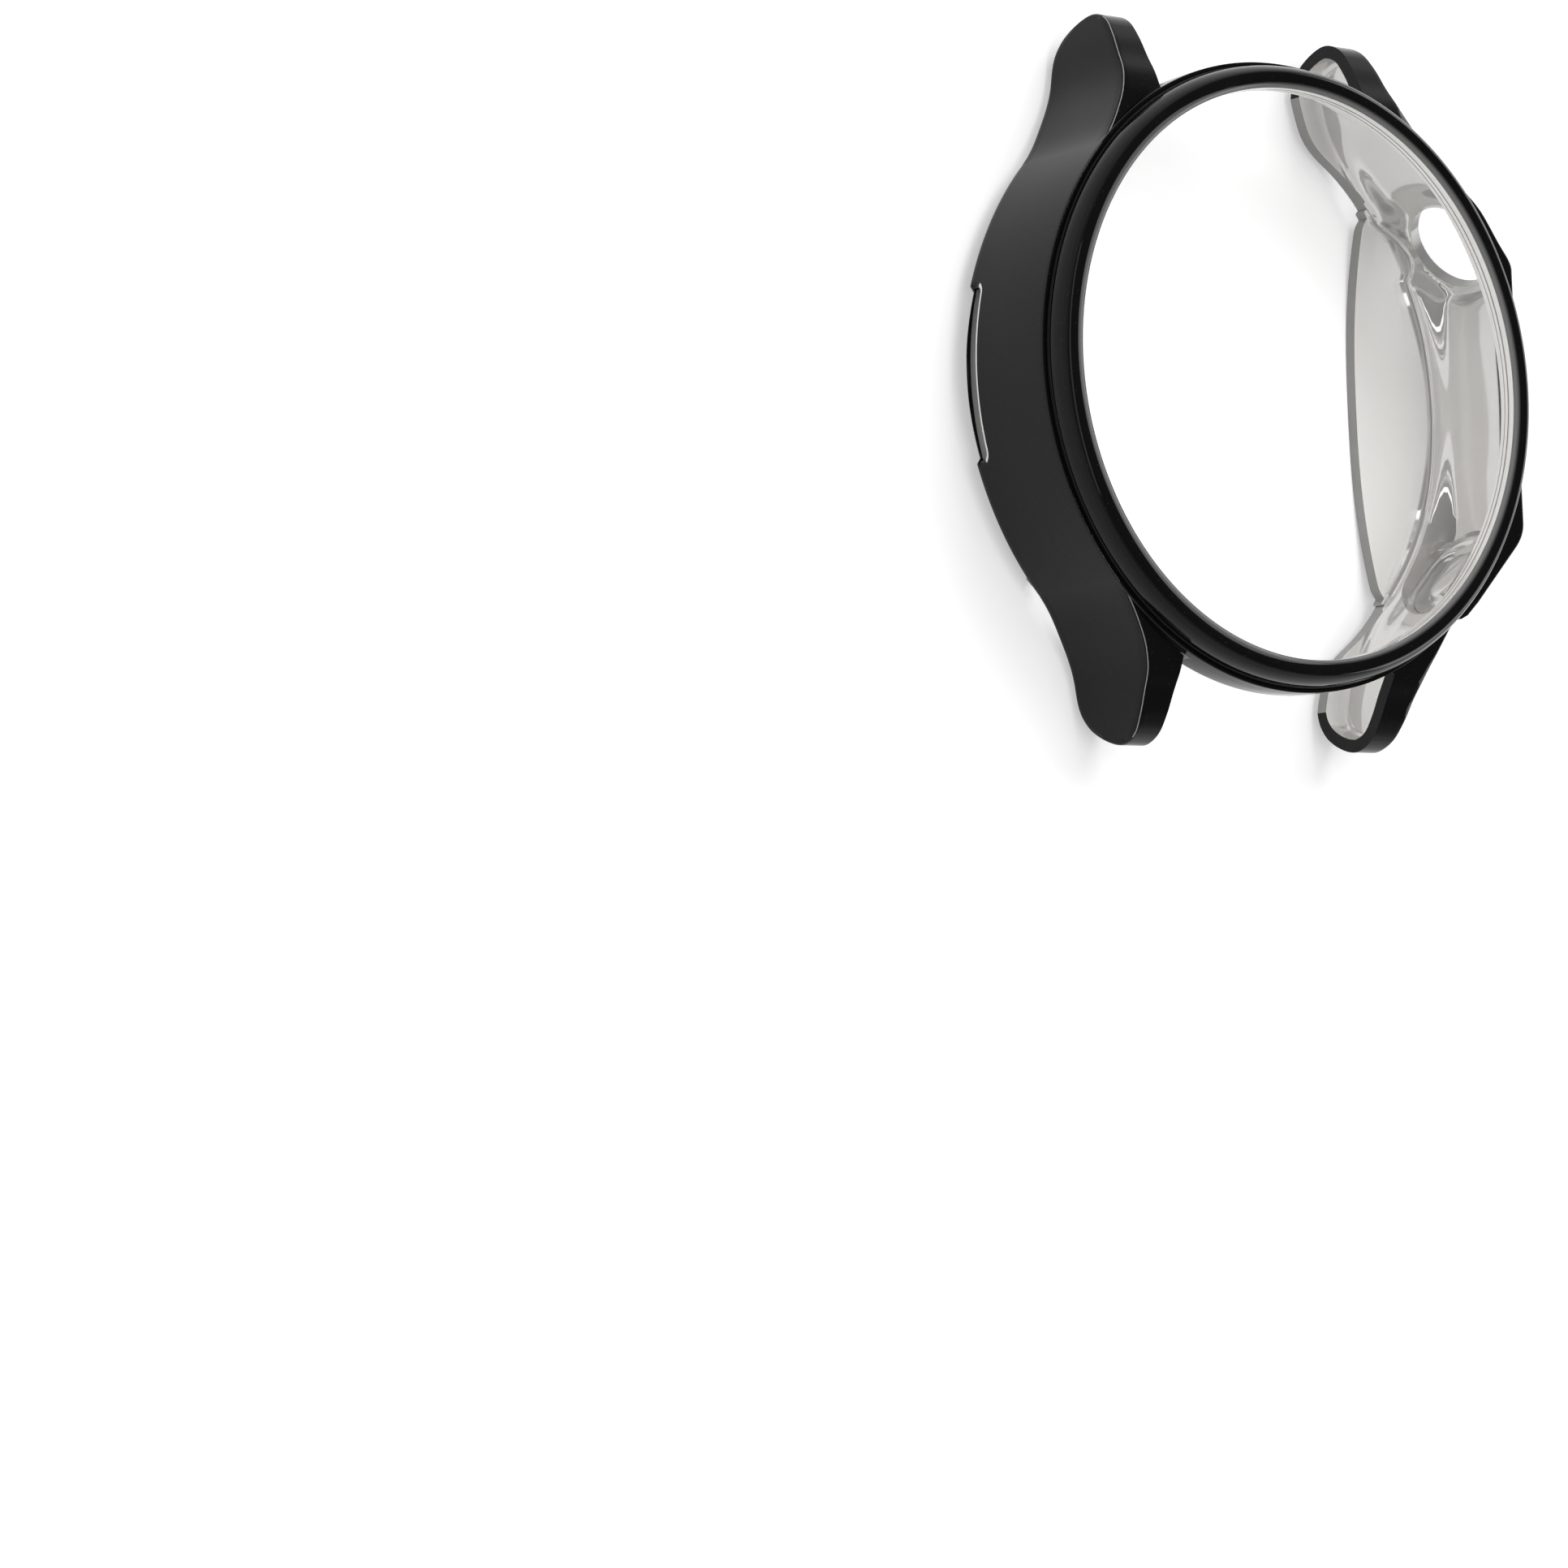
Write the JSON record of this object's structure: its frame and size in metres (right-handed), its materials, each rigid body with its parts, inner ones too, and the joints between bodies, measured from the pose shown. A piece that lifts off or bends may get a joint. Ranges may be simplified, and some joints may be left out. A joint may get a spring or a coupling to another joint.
{
  "type": "smartwatch bumper case",
  "caption": "Flexible glossy black bumper case for a round smartwatch, with a raised bezel ring, lug covers, back lips, a crown hole and a press-through button.",
  "frame": {"origin": "centre of the screen opening, at the level of the back lips' lands", "axes": "+Z out of the screen, +Y towards 12 o'clock, +X towards the crown side"},
  "size_m": [0.0486, 0.0562, 0.0135],
  "materials": {
    "plated_skin": "high gloss black",
    "clear_core": "glossy, clear over a silvery backing"
  },
  "bodies": {
    "bezel": {"bezel_ring": "plated_skin", "bezel_inner_seat": "clear_core", "upper_skirt": "plated_skin", "lower_skirt": "plated_skin"},
    "left_flank": {"left_side_wall": "plated_skin", "left_back_lip": "plated_skin"},
    "right_flank": {"right_side_wall": "plated_skin", "crown_facet": "plated_skin", "button_facet": "plated_skin", "right_back_lip": "plated_skin"},
    "upper_left_lug": {"upper_left_lug_cover": "plated_skin", "upper_left_back_hook": "plated_skin"},
    "upper_right_lug": {"upper_right_lug_cover": "plated_skin", "upper_right_back_hook": "plated_skin"},
    "lower_left_lug": {"lower_left_lug_cover": "plated_skin", "lower_left_back_hook": "plated_skin"},
    "lower_right_lug": {"lower_right_lug_cover": "plated_skin", "lower_right_back_hook": "plated_skin"},
    "button": {"button_pad": "plated_skin", "button_boss": "clear_core"}
  },
  "joints": [
    {"name": "left_flank_flex", "type": "hinge", "parent": "bezel", "child": "left_flank", "pos_m": [-0.0243, 0, 0.0112], "axis": [0, 1, 0], "range_deg": [0, 20], "stiffness_Nm_per_rad": 0.05},
    {"name": "right_flank_flex", "type": "hinge", "parent": "bezel", "child": "right_flank", "pos_m": [0.0243, 0, 0.0112], "axis": [0, -1, 0], "range_deg": [0, 20], "stiffness_Nm_per_rad": 0.05},
    {"name": "upper_left_lug_flex", "type": "hinge", "parent": "bezel", "child": "upper_left_lug", "pos_m": [-0.0125, 0.0218, 0.0112], "axis": [1, 0, 0], "range_deg": [0, 15], "stiffness_Nm_per_rad": 0.03},
    {"name": "upper_right_lug_flex", "type": "hinge", "parent": "bezel", "child": "upper_right_lug", "pos_m": [0.0125, 0.0218, 0.0112], "axis": [1, 0, 0], "range_deg": [0, 15], "stiffness_Nm_per_rad": 0.03},
    {"name": "lower_left_lug_flex", "type": "hinge", "parent": "bezel", "child": "lower_left_lug", "pos_m": [-0.0125, -0.0218, 0.0112], "axis": [-1, 0, 0], "range_deg": [0, 15], "stiffness_Nm_per_rad": 0.03},
    {"name": "lower_right_lug_flex", "type": "hinge", "parent": "bezel", "child": "lower_right_lug", "pos_m": [0.0125, -0.0218, 0.0112], "axis": [-1, 0, 0], "range_deg": [0, 15], "stiffness_Nm_per_rad": 0.03},
    {"name": "button_press", "type": "slide", "parent": "right_flank", "child": "button", "axis": [-0.7193, 0.6947, 0], "range_m": [0, 0.0005], "stiffness_N_per_m": 1500}
  ]
}
